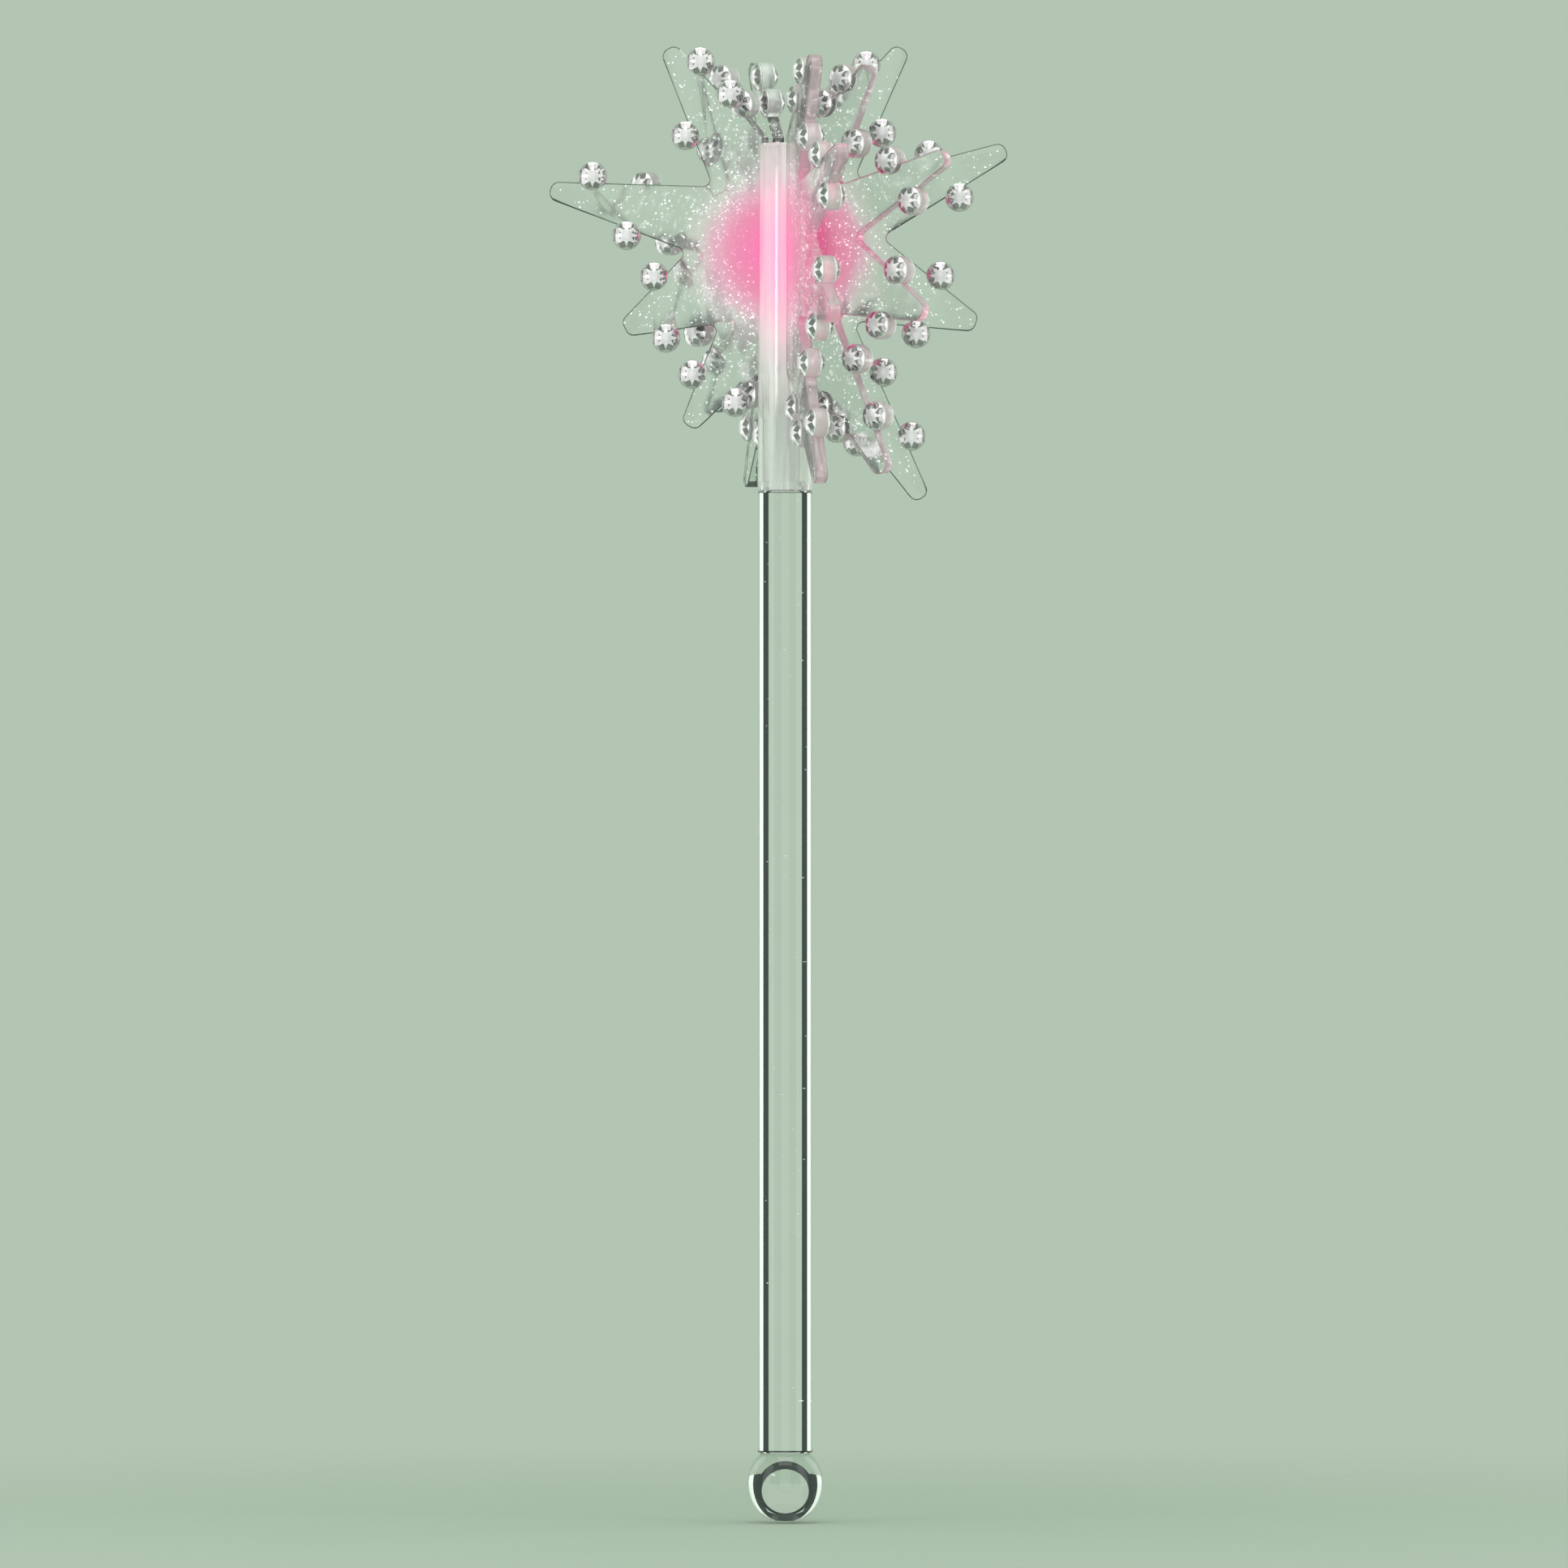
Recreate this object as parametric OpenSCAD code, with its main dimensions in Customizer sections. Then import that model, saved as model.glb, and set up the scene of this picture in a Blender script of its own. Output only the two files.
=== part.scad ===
// Toy magic wand: a clear rod with a ball end, and a star-burst head of six glitter fins
// round a clear hub with a pink core. Faceted stones sit on pads along the fins' edges.
// Millimetres. The origin is the centre of the rod's lower end, +Z runs up to the head
// and +X points along the right-hand fin.

/* [Handle] */
// Diameter of the clear rod
rod_d = 12.7; // [11.5:0.1:16]
// Length of the rod from its lower end to the shoulder under the hub
rod_len = 221.5; // [150:0.5:260]
// Chamfer of the rod's shoulder and of the hub's lower edge
joint_chamfer = 0.3; // [0.1:0.05:0.5]
// Diameter of the ball
ball_d = 18; // [14:0.5:24]
// Diameter of the ball's flat seat under the rod
ball_seat_d = 11; // [8:0.1:11.4]

/* [Joint inside the hub] */
// Diameter of the rod's spigot
spigot_d = 7; // [6:0.1:7.6]
// Length of the spigot above its locating step
spigot_len = 27; // [15:0.5:40]
// Chamfer that leads the spigot into the bore
spigot_chamfer = 0.5; // [0.2:0.1:1]
// Width of the locating step round the foot of the spigot
step_w = 1.2; // [0.6:0.1:1.6]
// Height of the locating step
step_h = 2.2; // [1:0.1:4]
// Gap on each side of a piece that slides into another
slip = 0.05; // [0.02:0.01:0.1]

/* [Hub] */
// Length of the pink core above the spigot
core_len = 41; // [30:0.5:55]
// Thickness of the hub's closed top
hub_roof = 10; // [4:0.5:14]
// How much the hub's radius shrinks from its foot to its top
hub_draft = 0.45; // [0:0.05:0.6]
// Chamfer round the hub's top edge
hub_top_chamfer = 0.5; // [0.2:0.1:1]
// Wall between the foot of a fin's groove and the bore
groove_web = 0.9; // [0.5:0.05:1.2]

/* [Fins] */
// Thickness of a fin
fin_t = 2.8; // [2:0.1:3.2]
// Thickness of the tongue that holds a fin in the hub
tongue_t = 1.6; // [1:0.1:2]
// Angle between the first and the second plate of fins
second_plate_angle = 36; // [34:1:42]
// Angle between the second and the third plate
third_plate_angle = 38; // [34:1:42]
// Size of the second plate as a share of the first
second_plate_share = 0.9; // [0.85:0.01:1]
// Size of the third plate as a share of the first
third_plate_share = 0.94; // [0.85:0.01:1]
// Height of the hub's top above the head's centre
head_drop = 25; // [20:0.5:28]
// Depth of a fin's root below the head's centre
root_drop = 26; // [20:0.5:28]

/* [Points of a fin] */
// Reach of the top point from the head's centre
top_reach = 54; // [46:0.5:62]
// Reach of the side point
side_reach = 56; // [46:0.5:64]
// Reach of the low point on a long-footed fin
long_low = 47; // [42:0.5:54]
// Reach of the low point on a short-footed fin
short_low = 41; // [38:0.5:48]
// Reach of a long foot point
long_foot = 65; // [54:0.5:74]
// Reach of a short foot point
short_foot = 46; // [42:0.5:54]
// Angle of the top point from straight up
top_angle = 30; // [26:1:34]
// Angle of the foot point from straight down
foot_angle = 29; // [26:1:34]
// Angle that the side point leans up on a long-footed fin, and down on a short-footed one
sway_angle = 5; // [0:0.5:7]
// Angle that the low point hangs below an even spread of the points
low_drop_angle = 2.5; // [0:0.5:4]
// Distance of the notches between points from the head's centre
notch_reach = 22.5; // [18:0.5:26]
// Radius at the tip of a point
tip_r = 2; // [1.2:0.1:2.6]
// Radius in a notch
notch_r = 1.5; // [0.5:0.1:3]

/* [Stones] */
// Diameter of a stone
stone_d = 6.4; // [5:0.1:7]
// Height of a stone from its flat back to its table
stone_h = 1.65; // [1.2:0.05:2]
// Height of the straight girdle of a stone
girdle_h = 0.35; // [0.2:0.05:0.6]
// Diameter of a stone's flat table
table_d = 2.7; // [2:0.1:3.2]
// Diameter of the ring where the tips of a stone's star facets lie
star_d = 5.3; // [4.2:0.1:5.6]
// Width of the pad's rim that shows round a stone
pad_rim = 0.15; // [0.05:0.05:0.4]
// How far a pad reaches into the edge of its point
pad_bite = 1.8; // [1.2:0.1:2.2]

/* [Hidden] */
$fn = 96;

// Each fin: its name, its plate, which end of the plate it is in degrees, and if its foot is long
FINS = [
    ["right", 0, 0, true],
    ["front_right", 1, 0, true],
    ["front", 2, 0, true],
    ["left", 0, 180, false],
    ["back_left", 1, 180, false],
    ["back", 2, 180, true]
];
TOP = 0;
SIDE = 1;
LOW = 2;
FOOT = 3;
UP = -1;
DOWN = 1;

// Each pad: its point, the edge of that point, and its share of the way from the tip to the notch
SHORT_PADS = [
    [TOP, UP, 0.22], [TOP, UP, 0.55], [TOP, DOWN, 0.6],
    [SIDE, UP, 0.25], [SIDE, DOWN, 0.58],
    [LOW, UP, 0.57], [LOW, DOWN, 0.4],
    [FOOT, UP, 0.46], [FOOT, DOWN, 0.5]
];
LONG_PADS = [
    [TOP, UP, 0.26], [TOP, UP, 0.57], [TOP, DOWN, 0.6],
    [SIDE, UP, 0.48], [SIDE, DOWN, 0.42],
    [LOW, UP, 0.44], [LOW, DOWN, 0.47],
    [FOOT, UP, 0.32], [FOOT, UP, 0.69], [FOOT, DOWN, 0.47], [FOOT, DOWN, 0.68]
];

// Share of the sway that each point of a fin takes
SWAY_SHARE = [0, 1, 0.5, 0];
// Where each notch lies between the points above and below it
NOTCH_SHARE = [0.4, 0.36, 0.62];

CLOCKWISE = 1;
COUNTER = -1;
// Star facets round a stone's table
STONE_SIDES = 8;
// How far a stone's table is turned from the tips of its stars, in sides
TABLE_SHIFT = 0.5;
HALF_TURN = 180;
ARC_STEPS = 7;
// Longest share of an edge that one rounded corner may take
CORNER_SHARE = 0.46;
// How far a cut runs past the face that it opens
OVERCUT = 1;
// How far a tongue runs into its own fin
TONGUE_OVERLAP = 0.5;

CLEAR = [0.86, 0.95, 0.9, 0.4];
FROSTED = [0.95, 0.92, 0.94, 0.5];
GLITTER = [0.82, 0.93, 0.72, 0.6];
PINK = [1, 0.41, 0.71, 0.8];

rod_r = rod_d / 2;
spigot_r = spigot_d / 2;
step_r = spigot_r + step_w;
bore_r = spigot_r + slip;
step_top = rod_len + step_h;
spigot_top = step_top + spigot_len;
core_top = spigot_top + core_len;
hub_top = core_top + hub_roof;
hub_len = hub_top - rod_len;
hub_top_r = rod_r - hub_draft;
head_z = hub_top - head_drop;
tongue_r = bore_r + groove_web;
ball_r = ball_d / 2;
ball_z = -sqrt(ball_r * ball_r - ball_seat_d * ball_seat_d / 4);
pad_d = stone_d + 2 * pad_rim;
pad_out = pad_d / 2 - pad_bite;
// Height of the stars' tips that keeps the kites between them flat
kite_d = star_d * cos(HALF_TURN / STONE_SIDES);
star_h = stone_h - (stone_h - girdle_h) * (kite_d - table_d) / (stone_d - table_d);
plate_share = [1, second_plate_share, third_plate_share];
plate_turn = [0, second_plate_angle, second_plate_angle + third_plate_angle];

function fin_name(k) = FINS[k][0];
function fin_azimuth(k) = plate_turn[FINS[k][1]] + FINS[k][2];
function fin_share(k) = plate_share[FINS[k][1]];
function long_footed(k) = FINS[k][3];
function fin_pads(k) = long_footed(k) ? LONG_PADS : SHORT_PADS;

// Reach of a point, and its angle from straight up
function low_reach(k) = long_footed(k) ? long_low : short_low;
function foot_reach(k) = long_footed(k) ? long_foot : short_foot;
function reach(k, i) = fin_share(k) * [top_reach, side_reach, low_reach(k), foot_reach(k)][i];
function even_turn(i) = top_angle + (HALF_TURN - top_angle - foot_angle) * i / FOOT;
function lean(k, i) = (long_footed(k) ? -sway_angle : sway_angle) * SWAY_SHARE[i];
function turn(k, i) = even_turn(i) + lean(k, i) + (i == LOW ? low_drop_angle : 0);

// Directions in a fin's own plane, where x is the distance from the axis and y the height
function out_along(angle) = [sin(angle), cos(angle)];
function across(angle) = [cos(angle), -sin(angle)];
function unit(v) = v / norm(v);
function left_of(v) = [-v.y, v.x];

// The tip corner and the notch or root corner at the two ends of one edge of a point
function tip_corner(k, i, edge) = out_along(turn(k, i)) * reach(k, i) + across(turn(k, i)) * edge * tip_r;
function notch_turn(k, i) = turn(k, i) + (turn(k, i + 1) - turn(k, i)) * NOTCH_SHARE[i];
function notch(k, i) = out_along(notch_turn(k, i)) * notch_reach * fin_share(k);
function root_corner(edge) = [tongue_r, edge == UP ? head_drop : -root_drop];
function edge_end(k, i, edge) =
    edge == UP
    ? (i == TOP ? root_corner(UP) : notch(k, i - 1))
    : (i == FOOT ? root_corner(DOWN) : notch(k, i));

// Centre of a pad, just outside the edge that carries it
function pad_centre(k, pad) =
    let (tip = tip_corner(k, pad[0], pad[1]))
    let (run = edge_end(k, pad[0], pad[1]) - tip)
    tip + run * pad[2] + left_of(unit(run)) * pad[1] * pad_out;

// Arc that rounds the corner b between its neighbours a and c
function rounded(a, b, c, r) =
    let (u = unit(a - b), v = unit(c - b))
    let (half = acos(u * v) / 2)
    let (room = CORNER_SHARE * min(norm(a - b), norm(c - b)))
    let (cut = min(r / tan(half), room))
    let (radius = cut * tan(half))
    let (mid = b + unit(u + v) * radius / sin(half))
    let (from = b + u * cut - mid, to = b + v * cut - mid)
    let (start = atan2(from.y, from.x))
    let (side = from.x * to.y - from.y * to.x > 0 ? 1 : -1)
    let (step = side * (HALF_TURN - 2 * half) / ARC_STEPS)
    [for (s = [0 : ARC_STEPS]) mid + radius * [cos(start + step * s), sin(start + step * s)]];

// Corners of a fin from its foot up to its top, each with its radius
function fin_corners(k) = concat(
    [[root_corner(DOWN), 0]],
    [
        for (i = [FOOT : -1 : TOP])
        each [
            [tip_corner(k, i, DOWN), tip_r],
            [tip_corner(k, i, UP), tip_r],
            if (i > TOP) [notch(k, i - 1), notch_r]
        ]
    ],
    [[root_corner(UP), 0]]
);
function fin_outline(k) =
    let (corners = fin_corners(k), n = len(corners))
    [
        for (j = [0 : n - 1])
        let (here = corners[j], before = corners[(j + n - 1) % n], after = corners[(j + 1) % n])
        each here[1] > 0 ? rounded(before[0], here[0], after[0], here[1]) : [here[0]]
    ];

// Ring of a stone's corners
function ring(d, z, sides, shift) = [
    for (i = [0 : sides - 1])
    let (angle = (i + shift) * 2 * HALF_TURN / sides)
    [d / 2 * cos(angle), d / 2 * sin(angle), z]
];

// Outside of the hub, grown by a gap
module hub_cone(gap, extra) {
    slope = hub_draft / hub_len;
    translate([0, 0, rod_len])
        cylinder(h = hub_len + extra, r1 = rod_r + gap, r2 = hub_top_r + gap - slope * extra);
}

// Stands a fin's own plane upright at its place round the hub
module at_fin(k) {
    rotate([0, 0, -fin_azimuth(k)])
        translate([0, 0, head_z])
            rotate([90, 0, 0])
                children();
}

// Tongue of a fin, or its groove when grown by a gap
module tongue(k, gap, depth, top) {
    height = root_drop + head_drop + top;
    at_fin(k)
        translate([tongue_r - gap, -root_drop, -tongue_t / 2 - gap])
            cube([depth + gap, height, tongue_t + 2 * gap]);
}

module handle_rod() {
    color(CLEAR)
        rotate_extrude()
            polygon([
                [0, 0],
                [rod_r, 0],
                [rod_r, rod_len - joint_chamfer],
                [rod_r - joint_chamfer, rod_len],
                [step_r, rod_len],
                [step_r, step_top],
                [spigot_r, step_top],
                [spigot_r, spigot_top - spigot_chamfer],
                [spigot_r - spigot_chamfer, spigot_top],
                [0, spigot_top]
            ]);
}

module pommel_ball() {
    color(CLEAR)
        difference() {
            translate([0, 0, ball_z]) sphere(r = ball_r);
            translate([-ball_d, -ball_d, 0]) cube([2 * ball_d, 2 * ball_d, ball_d]);
        }
}

module hub_tube() {
    groove_depth = rod_r - tongue_r + OVERCUT;
    bore_z = rod_len - OVERCUT;
    color(FROSTED)
        difference() {
            hub_cone(0, 0);
            // Bore for the spigot and the core, and the wider seat for the locating step
            translate([0, 0, bore_z]) cylinder(h = core_top - bore_z, r = bore_r);
            translate([0, 0, bore_z]) cylinder(h = step_top - bore_z, r = step_r + slip);
            for (k = [0 : len(FINS) - 1]) tongue(k, slip, groove_depth, OVERCUT);
            hub_edges();
        }
}

// Rings that chamfer the hub's lower and top edges
module hub_edges() {
    rotate_extrude()
        polygon([
            [rod_r - joint_chamfer, rod_len],
            [rod_r + OVERCUT, rod_len],
            [rod_r + OVERCUT, rod_len + joint_chamfer],
            [rod_r, rod_len + joint_chamfer]
        ]);
    rotate_extrude()
        polygon([
            [hub_top_r - hub_top_chamfer, hub_top],
            [hub_top_r + OVERCUT, hub_top],
            [hub_top_r + OVERCUT, hub_top - hub_top_chamfer],
            [hub_top_r, hub_top - hub_top_chamfer]
        ]);
}

module pink_core() {
    color(PINK)
        translate([0, 0, spigot_top]) cylinder(h = core_len, r = spigot_r);
}

module fin(k) {
    color(GLITTER)
        union() {
            difference() {
                at_fin(k)
                    linear_extrude(height = fin_t, center = true) {
                        polygon(fin_outline(k));
                        for (pad = fin_pads(k)) translate(pad_centre(k, pad)) circle(d = pad_d);
                    }
                hub_cone(slip, head_drop);
            }
            tongue(k, 0, rod_r - tongue_r + TONGUE_OVERLAP, 0);
        }
}

// Flat-backed stone with a girdle and a brilliant's crown: girdle facets, kites, stars and a table
module stone() {
    n = STONE_SIDES;
    m = 2 * n;
    corners = concat(
        ring(stone_d, 0, m, 0),
        ring(stone_d, girdle_h, m, 0),
        ring(star_d, star_h, n, 0),
        ring(table_d, stone_h, n, TABLE_SHIFT)
    );
    function rim(i) = m + (i + m) % m;
    function tip(i) = 2 * m + i % n;
    function top(i) = 2 * m + n + (i + n) % n;
    back = [for (i = [0 : m - 1]) i];
    girdle = [for (i = [0 : m - 1]) [i, rim(i), rim(i + 1), (i + 1) % m]];
    before_tip = [for (i = [0 : n - 1]) [rim(2 * i - 1), tip(i), rim(2 * i)]];
    after_tip = [for (i = [0 : n - 1]) [rim(2 * i), tip(i), rim(2 * i + 1)]];
    kites = [for (i = [0 : n - 1]) [tip(i), top(i), tip(i + 1), rim(2 * i + 1)]];
    stars = [for (i = [0 : n - 1]) [top(i - 1), top(i), tip(i)]];
    table = [for (i = [n - 1 : -1 : 0]) top(i)];
    polyhedron(
        points = corners,
        faces = concat([back], girdle, before_tip, after_tip, kites, stars, [table])
    );
}

// Stones on one face of a fin
module stones(k, face) {
    color("silver")
        at_fin(k)
            for (pad = fin_pads(k))
                translate(pad_centre(k, pad))
                    rotate([face == CLOCKWISE ? 0 : 180, 0, 0])
                        translate([0, 0, fin_t / 2])
                            stone();
}

handle_rod();
pommel_ball();
hub_tube();
pink_core();
for (k = [0 : len(FINS) - 1]) {
    fin(k);
    stones(k, CLOCKWISE);
    stones(k, COUNTER);
}
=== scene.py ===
"""Dress a toy magic wand: a clear rod with a ball end and a star-burst head of glitter fins."""

import logging
import math
import random
from collections.abc import Sequence
from dataclasses import dataclass, field
from enum import Enum, IntEnum

import bmesh
import bpy
from bmesh.types import BMEdge, BMesh
from mathutils import Matrix, Vector
from mathutils.bvhtree import BVHTree
from mathutils.kdtree import KDTree


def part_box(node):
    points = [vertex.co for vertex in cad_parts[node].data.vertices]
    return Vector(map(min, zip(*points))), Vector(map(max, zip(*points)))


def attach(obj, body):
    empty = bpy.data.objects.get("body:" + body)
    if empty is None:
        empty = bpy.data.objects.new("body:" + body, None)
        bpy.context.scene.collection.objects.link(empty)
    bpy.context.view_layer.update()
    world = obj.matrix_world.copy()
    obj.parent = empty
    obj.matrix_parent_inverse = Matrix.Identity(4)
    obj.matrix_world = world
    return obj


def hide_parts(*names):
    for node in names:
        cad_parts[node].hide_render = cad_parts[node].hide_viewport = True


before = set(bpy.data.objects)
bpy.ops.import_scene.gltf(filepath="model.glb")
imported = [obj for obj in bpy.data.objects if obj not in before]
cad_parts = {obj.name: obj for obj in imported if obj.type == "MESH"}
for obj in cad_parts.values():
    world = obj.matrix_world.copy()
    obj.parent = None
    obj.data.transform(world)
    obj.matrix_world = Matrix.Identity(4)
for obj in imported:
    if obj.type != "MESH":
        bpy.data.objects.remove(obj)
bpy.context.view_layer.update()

LOG = logging.getLogger("wand")
BODY = "root"
MM = 0.001
# Corners nearer than this are merged, and faces that meet flatter than this are joined
MERGE = 1e-6
JOIN_ANGLE = math.radians(0.5)
FULL_TURN = 2.0 * math.pi
QUARTER_TURN = math.pi / 2.0
UP = Vector((0.0, 0.0, 1.0))
PLASTIC_IOR = 1.49
# Cosines above which a face counts as flat, and as flat enough for flat shading
FLAT = 0.99
DEAD_FLAT = 0.999
SIDES = ((-1.0, "left"), (1.0, "right"))

Triple = tuple[float, float, float]
Colour = Triple
Stop = tuple[float, Colour]
Span = tuple[float, float]
Levels = tuple[Span, ...]
Socket = bpy.types.NodeSocket

BLACK: Colour = (0.0, 0.0, 0.0)
EVEN: Triple = (1.0, 1.0, 1.0)


class Fin(Enum):
    """The six fins, each with its turn round the hub in degrees, clockwise from above."""

    RIGHT = 0.0
    FRONT_RIGHT = 36.0
    FRONT = 74.0
    LEFT = 180.0
    BACK_LEFT = 216.0
    BACK = 254.0

    @property
    def label(self) -> str:
        """The fin's name in the names of its pieces."""
        return self.name.lower()

    @property
    def outward(self) -> Vector:
        """The level direction from the hub to the fin's points."""
        turn = math.radians(self.value)
        return Vector((math.cos(turn), -math.sin(turn), 0.0))

    @property
    def clockwise(self) -> Vector:
        """The normal of the fin's clockwise face."""
        turn = math.radians(self.value)
        return Vector((-math.sin(turn), -math.cos(turn), 0.0))

    @property
    def facing(self) -> Matrix:
        """The turn that brings the +X axis onto the fin."""
        return Matrix.Rotation(-math.radians(self.value), 4, "Z")


class Face(Enum):
    """The two faces of a fin, with the sign of each one's normal."""

    CW = 1.0
    CCW = -1.0

    def stones(self, fin: Fin) -> str:
        """Return the name of the CAD node of a fin's stones on this face."""
        return f"stones_{fin.label}_{self.name.lower()}"


class PlateSlot(IntEnum):
    """Material slots of a fin's plate."""

    FACE = 0
    WALL = 1
    RIM = 2
    PAD = 3


class StoneSlot(IntEnum):
    """Material slots of a stone, by kind of facet."""

    TABLE = 0
    STAR = 1
    KITE = 2
    GIRDLE = 3
    FOIL = 4


class Grain(Enum):
    """Noise patterns by the size of their grain, in grains per metre."""

    BROAD = 60.0
    MIDDLE = 420.0
    FINE = 2600.0


@dataclass(frozen=True)
class Sizes:
    """Driving sizes that the pieces share, in millimetres, as in the part's source.

    Only the seam is the scene's own: a thin layer of air between clear pieces that touch.
    """

    rod_r: float = 6.35
    shoulder_z: float = 221.5
    chamfer: float = 0.3
    step_r: float = 4.7
    step_h: float = 2.2
    spigot_r: float = 3.5
    spigot_len: float = 27.0
    core_len: float = 41.0
    hub_roof: float = 10.0
    hub_draft: float = 0.45
    head_drop: float = 25.0
    root_drop: float = 26.0
    tongue_t: float = 1.6
    groove_web: float = 0.9
    fin_t: float = 2.8
    slip: float = 0.05
    seam: float = 0.06

    @property
    def step_z(self) -> float:
        """Height of the top of the rod's locating step."""
        return self.shoulder_z + self.step_h

    @property
    def spigot_z(self) -> float:
        """Height of the end of the rod's spigot, where the pink core starts."""
        return self.step_z + self.spigot_len

    @property
    def core_z(self) -> float:
        """Height of the upper end of the pink core."""
        return self.spigot_z + self.core_len

    @property
    def top_z(self) -> float:
        """Height of the hub's top."""
        return self.core_z + self.hub_roof

    @property
    def head_z(self) -> float:
        """Height of the head's centre."""
        return self.top_z - self.head_drop

    @property
    def bore_r(self) -> float:
        """Radius of the hub's bore."""
        return self.spigot_r + self.slip


@dataclass
class NodeBench:
    """A material's node tree, with the few steps that fill it."""

    tree: bpy.types.NodeTree

    @staticmethod
    def fill(node: bpy.types.Node, inputs: dict[str, object]) -> None:
        """Set a node's inputs, by socket name with spaces as underscores."""
        for key, value in inputs.items():
            node.inputs[key.replace("_", " ")].default_value = value

    def add(self, kind: str, **inputs: object) -> bpy.types.Node:
        """Add a node and set its inputs.

        Args:
            kind: Blender's name for the node type.
            inputs: Socket values, by socket name with spaces as underscores.

        Returns:
            The new node.
        """
        node = self.tree.nodes.new(kind)
        self.fill(node, inputs)
        return node

    def join(self, source: Socket, target: Socket) -> None:
        """Link one socket to another."""
        self.tree.links.new(source, target)

    def shader(self) -> bpy.types.Node:
        """Return the tree's principled shader."""
        return next(n for n in self.tree.nodes if n.type == "BSDF_PRINCIPLED")

    def hold(self, **inputs: object) -> None:
        """Set constant inputs of the shader, by socket name with spaces as underscores."""
        self.fill(self.shader(), inputs)

    def feed(self, name: str, source: Socket) -> None:
        """Link a pattern to an input of the shader."""
        self.join(source, self.shader().inputs[name])

    def place(self) -> Socket:
        """Return the socket of a piece's own coordinates."""
        return self.add("ShaderNodeTexCoord").outputs["Object"]

    def noise(self, grain: Grain, detail: float = 2.0, stretch: Triple = EVEN) -> Socket:
        """Add a noise pattern on the piece's own coordinates.

        Args:
            grain: Size of the grain.
            detail: Octaves of the noise.
            stretch: Scale along X, Y and Z.

        Returns:
            The noise's value socket.
        """
        mapping = self.add("ShaderNodeMapping", Scale=stretch)
        self.join(self.place(), mapping.inputs["Vector"])
        node = self.add("ShaderNodeTexNoise", Scale=grain.value, Detail=detail, Roughness=0.55)
        self.join(mapping.outputs["Vector"], node.inputs["Vector"])
        return node.outputs["Fac"]

    def ramp(self, source: Socket, stops: Sequence[Stop]) -> Socket:
        """Turn a value into a colour along a ramp.

        Args:
            source: The value, from 0 to 1.
            stops: Places on the ramp with their colours.

        Returns:
            The ramp's colour socket.
        """
        node = self.add("ShaderNodeValToRGB")
        marks = node.color_ramp.elements
        while len(marks) < len(stops):
            marks.new(1.0)
        for mark, (place, colour) in zip(marks, stops):
            mark.position = place
            mark.color = (*colour, 1.0)
        self.join(source, node.inputs["Fac"])
        return node.outputs["Color"]

    def levels(self, source: Socket, stops: Levels) -> Socket:
        """Turn a value into another along a ramp of greys, by places and their levels."""
        return self.ramp(source, [(place, (level, level, level)) for place, level in stops])

    def grey(self, source: Socket, low: float, high: float) -> Socket:
        """Spread a value from 0 to 1 over a range.

        Args:
            source: The value, from 0 to 1.
            low: Result at 0.
            high: Result at 1.

        Returns:
            The result's socket.
        """
        node = self.add("ShaderNodeMapRange", To_Min=low, To_Max=high)
        self.join(source, node.inputs["Value"])
        return node.outputs["Result"]

    def times(self, first: Socket, second: Socket) -> Socket:
        """Multiply two patterns.

        Args:
            first: One pattern's value.
            second: The other pattern's value.

        Returns:
            The product's socket.
        """
        node = self.add("ShaderNodeMath")
        node.operation = "MULTIPLY"
        self.join(first, node.inputs[0])
        self.join(second, node.inputs[1])
        return node.outputs["Value"]

    def bump(self, source: Socket, depth: float, strength: float) -> Socket:
        """Turn a height pattern into a normal.

        Args:
            source: The height, from 0 to 1.
            depth: Height in metres that 1 stands for.
            strength: Share of the bump that is used.

        Returns:
            The normal's socket.
        """
        node = self.add("ShaderNodeBump", Strength=strength, Distance=depth)
        self.join(source, node.inputs["Height"])
        return node.outputs["Normal"]

    def distance(self, centre_z: float, squash: float, reach: float) -> Socket:
        """Measure the distance from a point on the wand's axis.

        Args:
            centre_z: Height of the point in metres.
            squash: How much heights count against widths.
            reach: Distance in metres that gives 1.

        Returns:
            A value from 0 at the point to 1 at the reach and beyond.
        """
        drop = (0.0, 0.0, -centre_z * squash)
        mapping = self.add("ShaderNodeMapping", Location=drop, Scale=(1.0, 1.0, squash))
        self.join(self.place(), mapping.inputs["Vector"])
        length = self.add("ShaderNodeVectorMath")
        length.operation = "LENGTH"
        self.join(mapping.outputs["Vector"], length.inputs[0])
        scaled = self.add("ShaderNodeMapRange", From_Max=reach)
        self.join(length.outputs["Value"], scaled.inputs["Value"])
        return scaled.outputs["Result"]


@dataclass(frozen=True)
class Finish:
    """A finish that makes one material and keeps it for every piece that wears it."""

    name: str

    def material(self) -> bpy.types.Material:
        """Return the finish's material, made on the first call.

        Returns:
            The one material of this finish.
        """
        found = bpy.data.materials.get(self.name)
        if found is None:
            found = bpy.data.materials.new(self.name)
            found.use_nodes = True
            self.paint(NodeBench(found.node_tree))
        return found

    def paint(self, bench: NodeBench) -> None:
        """Fill the material's node tree."""
        raise NotImplementedError


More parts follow.
